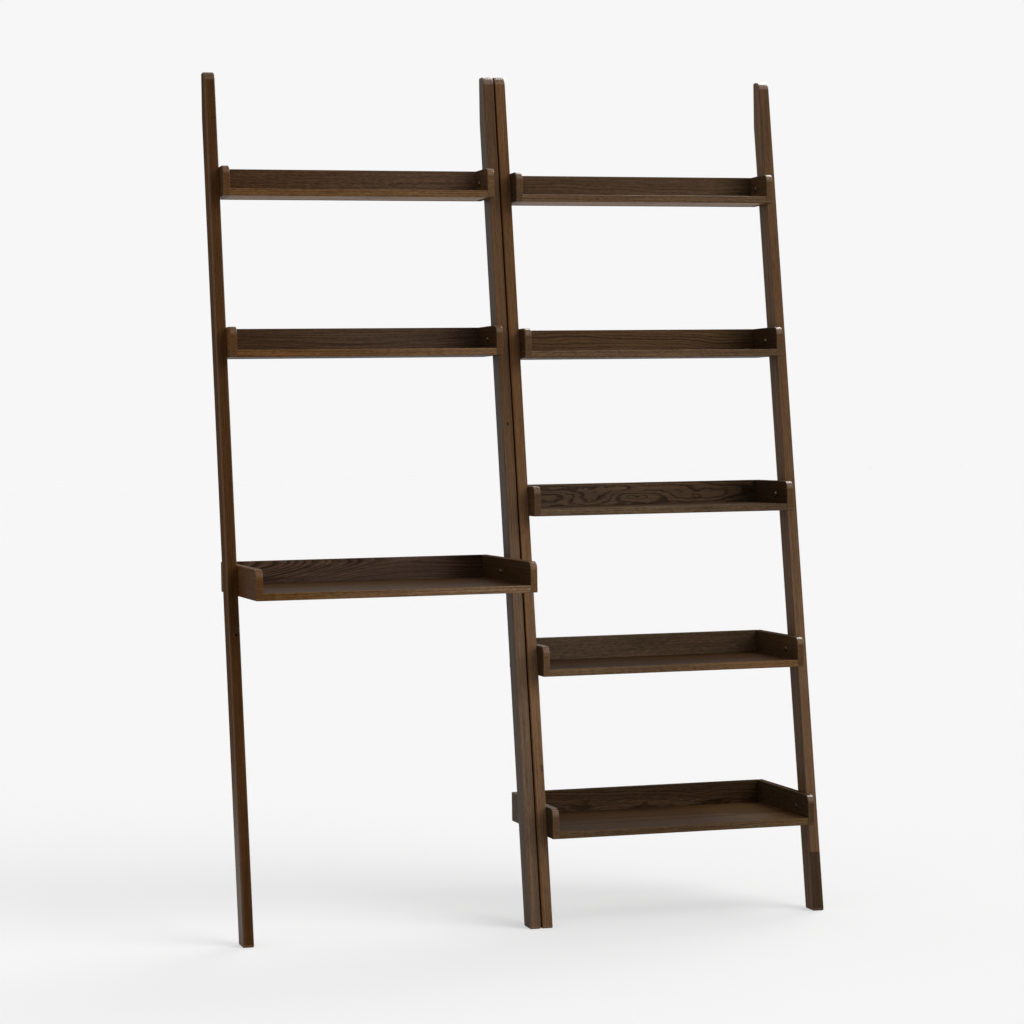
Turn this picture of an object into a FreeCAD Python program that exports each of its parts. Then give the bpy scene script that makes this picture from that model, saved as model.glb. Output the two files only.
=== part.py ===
import FreeCAD, Part
import math
import os
from collections import namedtuple

# A pair of leaning units in stained ash: a ladder desk and a matching ladder bookcase beside it.
# Each unit is two leaning rails with open trays bolted between them. The rails stand on the floor
# and their tops, like the back of every tray, bear on the wall behind.
# Millimetres. +X runs to the right, +Y to the wall and +Z up. The origin is on the floor, at the
# middle of the pair's width and of its depth.

V = FreeCAD.Vector

# Rails
RAIL_HEIGHT = 1900.0         # floor to the top of a rail
RAIL_WIDTH = 24.0            # across the unit
RAIL_DEPTH = 51.0            # front to back, square to the rail's length
FOOT_REACH = 317.0           # wall to the front of a rail at the floor
TOP_REACH = 36.5             # wall to the front of a rail at its top
RAIL_TOP_RADIUS = 20.0       # large corner at the top of the front edge
RAIL_CORNER_RADIUS = 4.0     # the other corners of a rail's outline
RAIL_EDGE_RADIUS = 2.0       # eased long edges

# The two units
CLEAR_WIDTH = 616.0          # between the inner faces of a unit's rails
UNIT_GAP = 3.0               # between the desk unit and the bookcase

# Trays
SIDE_THICKNESS = 15.0
SIDE_HEIGHT = 67.0
BACK_THICKNESS = 15.0
BOARD_THICKNESS = 16.0
BOARD_SETBACK = 1.0          # board's front edge behind the fronts of the sides
SIDE_NOSE_RADIUS = 17.0      # upper front corner of a tray side
SIDE_TOE_RADIUS = 4.0        # lower front corner of a tray side
SIDE_HEEL_RADIUS = 2.5       # rear corners of a tray side
TRAY_EDGE_RADIUS = 1.5       # eased edges of boards, backs and sides
SHELF_OVERHANG = 45.0        # shelf front ahead of the rail, at the height of the bolt
DESK_DEPTH = 412.0           # wall to the front of the desk tray

# Where the undersides of the trays lie
DESK_HEIGHT = 746.0
DESK_UNIT_TOP_DROP = 280.0   # tops of the rails down to the desk unit's top shelf
DESK_UNIT_PITCH = 355.0      # top shelf down to the second shelf
BOOKCASE_TOP_DROP = 289.0    # tops of the rails down to the bookcase's top shelf
BOTTOM_SHELF_HEIGHT = 197.0
BOOKCASE_SHELVES = 5         # evenly spaced from the top shelf to the bottom one

# Fixings between tray sides and rails
BOLT_HEIGHT = 36.0           # bolt axis above the underside of its tray
BOLT_DIAMETER = 6.0
BOLT_CLEARANCE = 0.3         # all round, in the tray side
HEAD_DIAMETER = 10.5
HEAD_HEIGHT = 3.3
HEAD_CROWN_DIAMETER = 6.0    # flat crown of the domed head
HEAD_RIM_HEIGHT = 0.8
HEAD_BULGE = 0.12            # rise of the dome over its chord, as a share of the chord
SOCKET_WIDTH = 4.0           # across the flats of the hexagon
SOCKET_DEPTH = 2.0
INSERT_DIAMETER = 10.0
INSERT_LENGTH = 15.0
INSERT_END_ROOM = 2.0        # hole in the rail beyond the insert
THREAD_CLEARANCE = 0.05      # bolt in the insert, all round
PEG_RISE = 18.0              # locating peg above the bolt
PEG_DIAMETER = 8.0
PEG_IN_SIDE = 8.0
PEG_IN_RAIL = 12.0

# Glued dowels inside the trays
DOWEL_DIAMETER = 8.0
DOWEL_IN_FACE = 10.0         # depth in the face of a side or a back
DOWEL_IN_END = 20.0          # depth in the end or the rear edge of a board, or the end of a back
BACK_DOWEL_HEIGHT = 44.0     # back-to-side dowel above the underside of the tray
BOARD_END_DOWELS = 2
BOARD_REAR_DOWELS = 3
WOOD_CLEARANCE = 0.1         # round dowels, pegs and inserts
HOLE_END_ROOM = 0.5          # hole beyond the end of a dowel or a peg

# Worked out from the dimensions above
LEAN = (FOOT_REACH - TOP_REACH) / RAIL_HEIGHT
RAIL_RUN = RAIL_DEPTH * math.sqrt(1.0 + LEAN * LEAN)
UNIT_WIDTH = CLEAR_WIDTH + 2.0 * RAIL_WIDTH
PAIR_WIDTH = 2.0 * UNIT_WIDTH + UNIT_GAP
WALL = DESK_DEPTH / 2.0
BOARD_WIDTH = CLEAR_WIDTH - 2.0 * SIDE_THICKNESS
DESK_UNIT_LEFT = -PAIR_WIDTH / 2.0
BOOKCASE_LEFT = DESK_UNIT_LEFT + UNIT_WIDTH + UNIT_GAP

# left is the x of the unit's outer left face, bottom the height of the underside.
Tray = namedtuple("Tray", "name left bottom depth")
Unit = namedtuple("Unit", "name left trays")


def rail_front(height):
    """The y of a rail's front face at a height."""
    return WALL - FOOT_REACH + LEAN * height


def rail_middle(height):
    """The y of a rail's centre line at a height."""
    return rail_front(height) + RAIL_RUN / 2.0


def shelf_depth(bottom):
    """Wall to the front of a shelf tray, which steps out with the rails."""
    return WALL - rail_front(bottom + BOLT_HEIGHT) + SHELF_OVERHANG


def inner_left(left):
    """The x of the left rail's inner face in the unit that starts at left."""
    return left + RAIL_WIDTH


def inner_right(left):
    """The x of the right rail's inner face in the unit that starts at left."""
    return left + RAIL_WIDTH + CLEAR_WIDTH


def outline(corners, x):
    """Closed outline in the plane at x, from corners (y, z, radius); a radius of 0 leaves one sharp."""
    points = [V(x, y, z) for y, z, radius in corners]
    starts = list(points)
    ends = list(points)
    edges = []
    for i, (y, z, radius) in enumerate(corners):
        if radius > 0.0:
            to_last = (points[i - 1] - points[i]).normalize()
            to_next = (points[(i + 1) % len(points)] - points[i]).normalize()
            half_angle = to_last.getAngle(to_next) / 2.0
            inward = (to_last + to_next).normalize()
            reach = radius / math.tan(half_angle)
            middle = points[i] + inward * (radius / math.sin(half_angle) - radius)
            starts[i] = points[i] + to_last * reach
            ends[i] = points[i] + to_next * reach
            edges.append(Part.Arc(starts[i], middle, ends[i]).toShape())
    for i in range(len(points)):
        edges.append(Part.LineSegment(ends[i - 1], starts[i]).toShape())
    return Part.Wire(Part.__sortEdges__(edges))


def eased_slab(corners, x, thickness, edge_radius):
    """A slab with the outline of the corners, from x to x + thickness, eased all round both faces."""
    slab = Part.Face(outline(corners, x)).extrude(V(thickness, 0, 0))
    rims = [edge for edge in slab.Edges if edge.BoundBox.XLength < 1e-6]
    return slab.makeFillet(edge_radius, rims)


def eased_box(x, y, z, width, depth, height, edge_radius, is_eased):
    """A box whose edges along X are eased where is_eased(y, z) says so."""
    box = Part.makeBox(width, depth, height, V(x, y, z))
    eased = []
    for edge in box.Edges:
        bounds = edge.BoundBox
        if bounds.XLength > width / 2.0 and is_eased(bounds.Center.y, bounds.Center.z):
            eased.append(edge)
    return box.makeFillet(edge_radius, eased)


def rod(radius, start, length, direction):
    """A plain cylinder from start along direction."""
    return Part.makeCylinder(radius, length, start, direction)


def drill(solid, holes):
    """The solid less its holes."""
    if not holes:
        return solid
    return solid.cut(holes)


# Places of the fixings

def bolt_places(tray):
    """Each bolt of a tray: the point on the rail's inner face and the direction into the rail."""
    height = tray.bottom + BOLT_HEIGHT
    y = rail_middle(height)
    return [(V(inner_left(tray.left), y, height), V(-1, 0, 0)),
            (V(inner_right(tray.left), y, height), V(1, 0, 0))]


def peg_places(tray):
    """Each locating peg of a tray, above its bolt on the rail's centre line."""
    height = tray.bottom + BOLT_HEIGHT + PEG_RISE
    y = rail_middle(height)
    return [(V(inner_left(tray.left), y, height), V(-1, 0, 0)),
            (V(inner_right(tray.left), y, height), V(1, 0, 0))]


def corner_dowel_places(tray):
    """Each dowel between a tray side and the board or back: the joint's point and the way into the side."""
    board_rear = WALL - BACK_THICKNESS
    board_depth = tray.depth - BACK_THICKNESS - BOARD_SETBACK
    places = []
    for i in range(BOARD_END_DOWELS):
        y = board_rear - board_depth * (i + 0.5) / BOARD_END_DOWELS
        places.append((y, tray.bottom + BOARD_THICKNESS / 2.0))
    places.append((WALL - BACK_THICKNESS / 2.0, tray.bottom + BACK_DOWEL_HEIGHT))
    left_face = inner_left(tray.left) + SIDE_THICKNESS
    right_face = inner_right(tray.left) - SIDE_THICKNESS
    return ([(V(left_face, y, z), V(-1, 0, 0)) for y, z in places]
            + [(V(right_face, y, z), V(1, 0, 0)) for y, z in places])


def rear_dowel_places(tray):
    """Each dowel between a board and its back: the joint's point and the way into the back."""
    start = inner_left(tray.left) + SIDE_THICKNESS
    y = WALL - BACK_THICKNESS
    height = tray.bottom + BOARD_THICKNESS / 2.0
    return [(V(start + BOARD_WIDTH * (i + 0.5) / BOARD_REAR_DOWELS, y, height), V(0, 1, 0))
            for i in range(BOARD_REAR_DOWELS)]


def dowel_hole(place, into_face):
    """Hole for one half of a dowel: into the face of a side or back, or into the end of a board."""
    point, direction = place
    radius = DOWEL_DIAMETER / 2.0 + WOOD_CLEARANCE
    if into_face:
        return rod(radius, point, DOWEL_IN_FACE + HOLE_END_ROOM, direction)
    return rod(radius, point, DOWEL_IN_END + HOLE_END_ROOM, direction * -1.0)


# Pieces

def rail(left_x, direction, trays):
    """A leaning rail from left_x to the right, drilled for its inserts and pegs along direction."""
    rear_foot = rail_front(0.0) + RAIL_RUN
    wall_cut_height = (WALL - rear_foot) / LEAN
    corners = [
        (rail_front(0.0), 0.0, RAIL_CORNER_RADIUS),
        (rear_foot, 0.0, RAIL_CORNER_RADIUS),
        (WALL, wall_cut_height, 0.0),
        (WALL, RAIL_HEIGHT, RAIL_CORNER_RADIUS),
        (rail_front(RAIL_HEIGHT), RAIL_HEIGHT, RAIL_TOP_RADIUS),
    ]
    body = eased_slab(corners, left_x, RAIL_WIDTH, RAIL_EDGE_RADIUS)
    holes = []
    for tray in trays:
        for point, into_rail in bolt_places(tray):
            if into_rail.x == direction:
                holes.append(rod(INSERT_DIAMETER / 2.0 + WOOD_CLEARANCE, point,
                                 INSERT_LENGTH + INSERT_END_ROOM, into_rail))
        for point, into_rail in peg_places(tray):
            if into_rail.x == direction:
                holes.append(rod(PEG_DIAMETER / 2.0 + WOOD_CLEARANCE, point,
                                 PEG_IN_RAIL + HOLE_END_ROOM, into_rail))
    return drill(body, holes)


def tray_side(tray, left_x, direction):
    """A tray side from left_x to the right, with a large rounded nose; its rail lies along direction."""
    top = tray.bottom + SIDE_HEIGHT
    front = WALL - tray.depth
    corners = [
        (front, tray.bottom, SIDE_TOE_RADIUS),
        (WALL, tray.bottom, SIDE_HEEL_RADIUS),
        (WALL, top, SIDE_HEEL_RADIUS),
        (front, top, SIDE_NOSE_RADIUS),
    ]
    body = eased_slab(corners, left_x, SIDE_THICKNESS, TRAY_EDGE_RADIUS)
    holes = []
    for point, into_rail in bolt_places(tray):
        if into_rail.x == direction:
            inside = point - into_rail * SIDE_THICKNESS
            holes.append(rod(BOLT_DIAMETER / 2.0 + BOLT_CLEARANCE, inside, SIDE_THICKNESS, into_rail))
    for point, into_rail in peg_places(tray):
        if into_rail.x == direction:
            holes.append(rod(PEG_DIAMETER / 2.0 + WOOD_CLEARANCE, point, PEG_IN_SIDE + HOLE_END_ROOM,
                             into_rail * -1.0))
    for place in corner_dowel_places(tray):
        if place[1].x == direction:
            holes.append(dowel_hole(place, into_face=True))
    return drill(body, holes)


def tray_back(tray):
    """The back board between the sides, full height, with eased top and bottom rear edges."""
    x = inner_left(tray.left) + SIDE_THICKNESS
    y = WALL - BACK_THICKNESS
    middle_z = tray.bottom + SIDE_HEIGHT / 2.0
    body = eased_box(x, y, tray.bottom, BOARD_WIDTH, BACK_THICKNESS, SIDE_HEIGHT, TRAY_EDGE_RADIUS,
                     lambda edge_y, edge_z: edge_z > middle_z or edge_y > y + BACK_THICKNESS / 2.0)
    back_middle = WALL - BACK_THICKNESS / 2.0
    holes = [dowel_hole(place, into_face=False) for place in corner_dowel_places(tray)
             if abs(place[0].y - back_middle) < 1e-6]
    holes += [dowel_hole(place, into_face=True) for place in rear_dowel_places(tray)]
    return drill(body, holes)


def tray_board(tray):
    """The board between the sides, butted against the back, with its front edges eased."""
    x = inner_left(tray.left) + SIDE_THICKNESS
    front = WALL - tray.depth + BOARD_SETBACK
    depth = tray.depth - BACK_THICKNESS - BOARD_SETBACK
    body = eased_box(x, front, tray.bottom, BOARD_WIDTH, depth, BOARD_THICKNESS, TRAY_EDGE_RADIUS,
                     lambda edge_y, edge_z: edge_y < front + depth / 2.0)
    board_rear = WALL - BACK_THICKNESS
    holes = [dowel_hole(place, into_face=False) for place in corner_dowel_places(tray)
             if place[0].y < board_rear]
    holes += [dowel_hole(place, into_face=False) for place in rear_dowel_places(tray)]
    return drill(body, holes)


def bolt(place):
    """A domed hex-socket bolt, from the head on the inside of the tray side to the end of the insert."""
    point, into_rail = place
    seat = point - into_rail * SIDE_THICKNESS
    out = into_rail * -1.0
    up = V(0, 0, 1)
    radius = HEAD_DIAMETER / 2.0
    crown = HEAD_CROWN_DIAMETER / 2.0
    rim = seat + up * radius
    shoulder = rim + out * HEAD_RIM_HEIGHT
    crown_edge = seat + out * HEAD_HEIGHT + up * crown
    chord_middle = (shoulder + crown_edge) * 0.5
    bulge = (out * (radius - crown) + up * (HEAD_HEIGHT - HEAD_RIM_HEIGHT)).normalize()
    dome_middle = chord_middle + bulge * (HEAD_BULGE * (shoulder - crown_edge).Length)
    profile = Part.Wire([
        Part.LineSegment(seat, rim).toShape(),
        Part.LineSegment(rim, shoulder).toShape(),
        Part.Arc(shoulder, dome_middle, crown_edge).toShape(),
        Part.LineSegment(crown_edge, seat + out * HEAD_HEIGHT).toShape(),
        Part.LineSegment(seat + out * HEAD_HEIGHT, seat).toShape(),
    ])
    head = Part.Face(profile).revolve(seat, out, 360.0)
    socket_radius = SOCKET_WIDTH / math.sqrt(3.0)
    socket_floor = seat + out * (HEAD_HEIGHT - SOCKET_DEPTH)
    hexagon = []
    for i in range(7):
        angle = math.radians(60.0 * i)
        hexagon.append(socket_floor + V(0, math.cos(angle), math.sin(angle)) * socket_radius)
    socket = Part.Face(Part.makePolygon(hexagon)).extrude(out * SOCKET_DEPTH)
    shank = rod(BOLT_DIAMETER / 2.0, seat, SIDE_THICKNESS + INSERT_LENGTH, into_rail)
    return head.cut(socket).fuse(shank).removeSplitter()


def insert(place):
    """A threaded insert, flush with the rail's inner face."""
    point, into_rail = place
    sleeve = rod(INSERT_DIAMETER / 2.0, point, INSERT_LENGTH, into_rail)
    return sleeve.cut(rod(BOLT_DIAMETER / 2.0 + THREAD_CLEARANCE, point, INSERT_LENGTH, into_rail))


def peg(place):
    """A locating peg across the joint between a tray side and its rail."""
    point, into_rail = place
    return rod(PEG_DIAMETER / 2.0, point - into_rail * PEG_IN_SIDE, PEG_IN_SIDE + PEG_IN_RAIL, into_rail)


def dowel(place):
    """A glued dowel across a joint inside a tray."""
    point, into_face = place
    start = point - into_face * DOWEL_IN_END
    return rod(DOWEL_DIAMETER / 2.0, start, DOWEL_IN_FACE + DOWEL_IN_END, into_face)


# Assembly

def shelf(name, left, bottom):
    """A shelf tray, as deep as its height asks."""
    return Tray(name, left, bottom, shelf_depth(bottom))


def desk_unit():
    """The ladder desk: two shelves over the desk tray."""
    left = DESK_UNIT_LEFT
    top = RAIL_HEIGHT - DESK_UNIT_TOP_DROP
    trays = [
        shelf("desk_unit_top_shelf", left, top),
        shelf("desk_unit_second_shelf", left, top - DESK_UNIT_PITCH),
        Tray("desktop", left, DESK_HEIGHT, DESK_DEPTH),
    ]
    return Unit("desk_unit", left, trays)


def bookcase():
    """The ladder bookcase: equally spaced shelves, numbered from the top."""
    top = RAIL_HEIGHT - BOOKCASE_TOP_DROP
    pitch = (top - BOTTOM_SHELF_HEIGHT) / (BOOKCASE_SHELVES - 1)
    trays = []
    for i in range(BOOKCASE_SHELVES):
        trays.append(shelf("bookcase_shelf_%d" % (i + 1), BOOKCASE_LEFT, top - pitch * i))
    return Unit("bookcase", BOOKCASE_LEFT, trays)


def unit_nodes(unit):
    """Every node of a unit, by name."""
    nodes = {
        unit.name + "_left_rail": rail(unit.left, -1, unit.trays),
        unit.name + "_right_rail": rail(inner_right(unit.left), 1, unit.trays),
    }
    for tray in unit.trays:
        nodes[tray.name + "_board"] = tray_board(tray)
        nodes[tray.name + "_back"] = tray_back(tray)
        nodes[tray.name + "_left_side"] = tray_side(tray, inner_left(tray.left), -1)
        right_x = inner_right(tray.left) - SIDE_THICKNESS
        nodes[tray.name + "_right_side"] = tray_side(tray, right_x, 1)
    bolts = [place for tray in unit.trays for place in bolt_places(tray)]
    pegs = [place for tray in unit.trays for place in peg_places(tray)]
    dowels = [place for tray in unit.trays for place in corner_dowel_places(tray)]
    dowels += [place for tray in unit.trays for place in rear_dowel_places(tray)]
    nodes[unit.name + "_bolts"] = Part.makeCompound([bolt(place) for place in bolts])
    nodes[unit.name + "_inserts"] = Part.makeCompound([insert(place) for place in bolts])
    nodes[unit.name + "_rail_pegs"] = Part.makeCompound([peg(place) for place in pegs])
    nodes[unit.name + "_tray_dowels"] = Part.makeCompound([dowel(place) for place in dowels])
    return nodes


def main():
    """Write one STEP file per node."""
    os.makedirs("parts", exist_ok=True)
    for unit in (desk_unit(), bookcase()):
        for name, shape in unit_nodes(unit).items():
            shape.exportStep("parts/%s.step" % name)
            print(name, len(shape.Solids), "solids, volume %.0f mm3" % shape.Volume)


main()
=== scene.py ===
import logging
import math
from dataclasses import dataclass, replace
from enum import Enum, IntEnum
from functools import cached_property

import bpy
import numpy as np
from mathutils import Matrix, Vector


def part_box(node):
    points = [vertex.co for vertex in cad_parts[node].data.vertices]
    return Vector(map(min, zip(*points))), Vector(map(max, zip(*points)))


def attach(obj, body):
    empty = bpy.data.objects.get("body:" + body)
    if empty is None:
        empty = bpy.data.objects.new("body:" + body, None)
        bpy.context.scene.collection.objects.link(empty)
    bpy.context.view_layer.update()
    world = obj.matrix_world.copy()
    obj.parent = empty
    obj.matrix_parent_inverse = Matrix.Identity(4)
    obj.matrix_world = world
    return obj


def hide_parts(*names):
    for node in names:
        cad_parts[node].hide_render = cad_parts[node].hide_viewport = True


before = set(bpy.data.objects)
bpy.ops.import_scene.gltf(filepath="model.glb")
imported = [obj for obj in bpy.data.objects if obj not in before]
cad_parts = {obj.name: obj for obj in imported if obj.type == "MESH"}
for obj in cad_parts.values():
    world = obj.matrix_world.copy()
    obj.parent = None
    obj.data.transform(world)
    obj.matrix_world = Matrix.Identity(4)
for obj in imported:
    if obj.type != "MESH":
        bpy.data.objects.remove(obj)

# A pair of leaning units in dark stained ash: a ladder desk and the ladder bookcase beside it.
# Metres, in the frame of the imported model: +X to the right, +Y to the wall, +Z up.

LOG = logging.getLogger("ladder_desk")
MM = 0.001

Pair = tuple[float, float]
Triple = tuple[float, float, float]
Colour = Triple
Piece = bpy.types.Object
Socket = bpy.types.NodeSocket
PLAIN = (1.0, 1.0, 1.0)


def tone(red: int, green: int, blue: int) -> Colour:
    """The linear colour of a display colour written from 0 to 255."""
    shown = np.array((red, green, blue)) / 255.0
    return tuple(np.where(shown > 0.04045, ((shown + 0.055) / 1.055) ** 2.4, shown / 12.92).tolist())


def grey(share: float) -> Colour:
    """The same share of each primary."""
    return (share, share, share)


# Meshes

def link(name: str, data: bpy.types.ID) -> Piece:
    """Puts data into a new object at the origin, linked to the scene.

    Args:
        name: The object's name.
        data: Its mesh, light or camera.

    Returns:
        The new object.
    """
    made = bpy.data.objects.new(name, data)
    bpy.context.scene.collection.objects.link(made)
    return made


def show_mesh(name: str, points: np.ndarray, faces: list, normals: np.ndarray | None = None,
              shares: dict[str, np.ndarray] | None = None) -> Piece:
    """Puts worked-out points and faces into a smooth-shaded object.

    Args:
        name: The object's name.
        points: Vertices as an array of shape (count, 3).
        faces: Vertex indices of each face, turning outwards.
        normals: A shading normal for each vertex, or None for the mesh's own.
        shares: Numbers from 0 to 1 for each vertex, by the name of the attribute that keeps them.

    Returns:
        The new object.
    """
    mesh = bpy.data.meshes.new(name)
    mesh.from_pydata(points.tolist(), [], faces)
    mesh.shade_smooth()
    for attribute, share in (shares or {}).items():
        kept = mesh.attributes.new(attribute, "FLOAT", "POINT")
        kept.data.foreach_set("value", share.astype(np.float32))
    if normals is not None:
        mesh.normals_split_custom_set_from_vertices(normals.tolist())
    mesh.validate()
    return link(name, mesh)


def grid_faces(rings: int, around: int) -> np.ndarray:
    """The quads between the rings of a grid, each ring closed round itself.

    Args:
        rings: How many rings there are.
        around: How many points a ring has.

    Returns:
        Point numbers as an array of shape (quads, 4).
    """
    ring, sample = np.meshgrid(np.arange(rings - 1), np.arange(around), indexing="ij")
    onward = (sample + 1) % around
    quads = np.stack([ring * around + sample, ring * around + onward,
                      (ring + 1) * around + onward, (ring + 1) * around + sample], axis=-1)
    return quads.reshape(-1, 4)


@dataclass(frozen=True)
class Corner:
    """A rounded corner of an outline, in depth and height."""

    y: float
    z: float
    radius: float
    wear: float = 0.0


@dataclass(frozen=True)
class EasedSlab:
    """A slab: an outline with rounded corners, carried along X, with both faces eased all round.

    The surface has two parameters. One runs round the outline: a corner's arc is its centre plus
    its radius times the turning normal. The other runs across the slab through insets: at an angle
    a of the easing, the outline is set in by radius (1 - cos a) and the face is radius (1 - sin a)
    away, so that the easing is a quarter circle all round. The margin is the flat strip beside each
    rounding, which keeps the shading of the faces flat.
    """

    corners: tuple[Corner, ...]
    left: float
    right: float
    edge_radius: float
    edge_wear: float
    arc_steps: int = 14
    edge_steps: int = 6
    margin: float = 1.5 * MM
    least_radius: float = 0.05 * MM

    def sides(self) -> tuple[np.ndarray, np.ndarray]:
        """The outline's edges, each the one that leaves its corner.

        Returns:
            Unit directions and outward normals.
        """
        places = np.array([(corner.y, corner.z) for corner in self.corners])
        along = np.roll(places, -1, axis=0) - places
        along /= np.linalg.norm(along, axis=1, keepdims=True)
        return along, np.stack([along[:, 1], -along[:, 0]], axis=1)

    def outline(self, insets: np.ndarray) -> tuple[np.ndarray, np.ndarray, np.ndarray]:
        """The outline set in by each inset.

        Args:
            insets: Distances by which the whole outline moves inwards, one for each ring.

        Returns:
            Points (rings, samples, 2), outward normals (samples, 2) and wear (samples).
        """
        places = np.array([(corner.y, corner.z) for corner in self.corners])
        radii = np.array([corner.radius for corner in self.corners])
        wears = np.array([corner.wear for corner in self.corners])
        along, out = self.sides()
        before = np.roll(out, 1, axis=0)
        bisector = (before + out) / (1.0 + np.sum(before * out, axis=1, keepdims=True))
        start = np.arctan2(before[:, 1], before[:, 0])
        turn = (np.arctan2(out[:, 1], out[:, 0]) - start) % (2.0 * np.pi)
        angle = start[:, None] + turn[:, None] * np.linspace(0.0, 1.0, self.arc_steps + 1)
        arc_normals = np.stack([np.cos(angle), np.sin(angle)], axis=-1)
        ring_radii = np.maximum(radii[None] - insets[:, None], self.least_radius)
        centres = places[None] - (insets[:, None] + ring_radii)[..., None] * bisector[None]
        arcs = centres[:, :, None] + ring_radii[..., None, None] * arc_normals[None]
        lead_in = arcs[:, :, :1] - self.margin * np.roll(along, 1, axis=0)[None, :, None]
        lead_out = arcs[:, :, -1:] + self.margin * along[None, :, None]
        points = np.concatenate([lead_in, arcs, lead_out], axis=2)
        normals = np.concatenate([before[:, None], arc_normals, out[:, None]], axis=1)
        plain = np.zeros((len(radii), 1))
        on_arcs = np.repeat(wears[:, None], self.arc_steps + 1, axis=1)
        worn = np.concatenate([plain, on_arcs, plain], axis=1)
        return points.reshape(len(insets), -1, 2), normals.reshape(-1, 2), worn.ravel()

    def stations(self) -> tuple[np.ndarray, ...]:
        """The rings from the left face to the right.

        Returns:
            Each ring's x, inset, easing angle, wear, share of the corners' wear and share of broad face.
        """
        radius = self.edge_radius
        angle = np.linspace(np.pi / 2.0, 0.0, self.edge_steps + 1)
        depth = np.concatenate([[0.0], radius * (1.0 - np.sin(angle)), [radius + self.margin]])
        inset = np.concatenate([[radius + self.margin], radius * (1.0 - np.cos(angle)), [0.0]])
        tilt = np.concatenate([[np.pi / 2.0], angle, [0.0]])
        wear = np.concatenate([[0.0], np.full(len(angle), self.edge_wear), [0.0]])
        corner_share = np.concatenate([[0.0], np.ones(len(angle) + 1)])
        broad = np.concatenate([[1.0, 1.0], np.zeros(len(angle))])
        x = np.concatenate([self.left + depth, self.right - depth[::-1]])
        tilt = np.concatenate([-tilt, tilt[::-1]])
        both = [np.concatenate([part, part[::-1]]) for part in (inset, wear, corner_share, broad)]
        return x, both[0], tilt, both[1], both[2], both[3]

    def build(self, name: str) -> Piece:
        """Makes the slab's closed mesh, with its shading normals and wear.

        Args:
            name: The piece's name.

        Returns:
            The piece.
        """
        x, inset, tilt, edge_wear, corner_share, broad = self.stations()
        points, normals, corner_wear = self.outline(inset)
        rings, around = points.shape[:2]
        place = np.concatenate([np.broadcast_to(x[:, None, None], (rings, around, 1)), points], axis=-1)
        lean = np.broadcast_to(np.sin(tilt)[:, None, None], (rings, around, 1))
        normal = np.concatenate([lean, np.cos(tilt)[:, None, None] * normals[None]], axis=-1)
        wear = 1.0 - (1.0 - edge_wear[:, None]) * (1.0 - corner_share[:, None] * corner_wear[None])
        faces = grid_faces(rings, around).tolist()
        faces.append(list(range(around))[::-1])
        faces.append(list(range((rings - 1) * around, rings * around)))
        shares = {"wear": wear.ravel(), "broad": np.repeat(broad, around)}
        return show_mesh(name, place.reshape(-1, 3), faces, normal.reshape(-1, 3), shares)


# Timber

@dataclass(frozen=True)
class Spots:
    """Noise in spots of one size, in millimetres each way; in wood the first runs along the fibre.

    The spread is the range of the noise that counts, to each side of its middle of 0.5, and the
    contrast how far it lightens and darkens a colour.
    """

    size: Triple
    detail: float = 1.0
    roughness: float = 0.5
    spread: float = 0.25
    contrast: float = 0.0


@dataclass(frozen=True)
class Patch:
    """A place on a piece: its middle as shares of the piece's box, and its reach each way in metres."""

    place: Triple
    reach: Triple


@dataclass(frozen=True)
class Knot(Patch):
    """A knot, a swelling of the rings or a patch where they are faint.

    It has the distance it pushes the rings outwards, its core's tone, the core's share of the reach,
    and the share of the rings' contrast that is left at its middle.
    """

    swell: float
    core: float = 1.0
    core_share: float = 0.5
    contrast: float = 1.0


@dataclass(frozen=True)
class Polish(Patch):
    """A patch rubbed glossier."""

    gloss: float


class Axis(IntEnum):
    """An axis of the object's frame."""

    X = 0
    Y = 1
    Z = 2


@dataclass(frozen=True)
class Shade:
    """A stretch along an axis over which the colour changes, as shares of the piece's box: some are the
    stain's, some paint light and shade.

    It has the tint where the stretch starts and where it ends, and may leave the broad faces out.
    """

    axis: Axis
    stretch: Pair
    low: Colour = PLAIN
    high: Colour = PLAIN
    edges_only: bool = False


@dataclass(frozen=True)
class Rings:
    """Growth rings: cones round the pith, whose radius wanders slowly along the fibre.

    The ripple and the jitter shift them in shorter steps, the band is the share of a ring that its
    dark earlywood takes, the contrast is how dark that is, and the unbroken share how little of it
    fades where a ring is faint. The opening is the share of a ring over which the earlywood begins,
    the closing the share of the band from which it fades, and the drift how many rings their uneven
    spacing gets them out of step. The wander length is in millimetres, and the other lengths and
    widths are shares of it.
    """

    pith: Pair
    spacing: float
    taper: float
    wander: float
    wander_length: float
    ripple: float
    jitter: float
    band: float
    contrast: float
    unbroken: float
    opening: float = 0.10
    closing: float = 0.3
    drift: float = 1.6
    drift_rate: float = 0.45
    wander_width: float = 0.35
    ripple_length: float = 0.18
    ripple_width: float = 0.06

    def wander_spots(self) -> Spots:
        """The spots of the wander."""
        width = self.wander_width * self.wander_length
        return Spots((self.wander_length, width, width))

    def ripple_spots(self) -> Spots:
        """The spots of the ripple."""
        width = self.ripple_width * self.wander_length
        return Spots((self.ripple_length * self.wander_length, width, width), detail=2.0)


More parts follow.
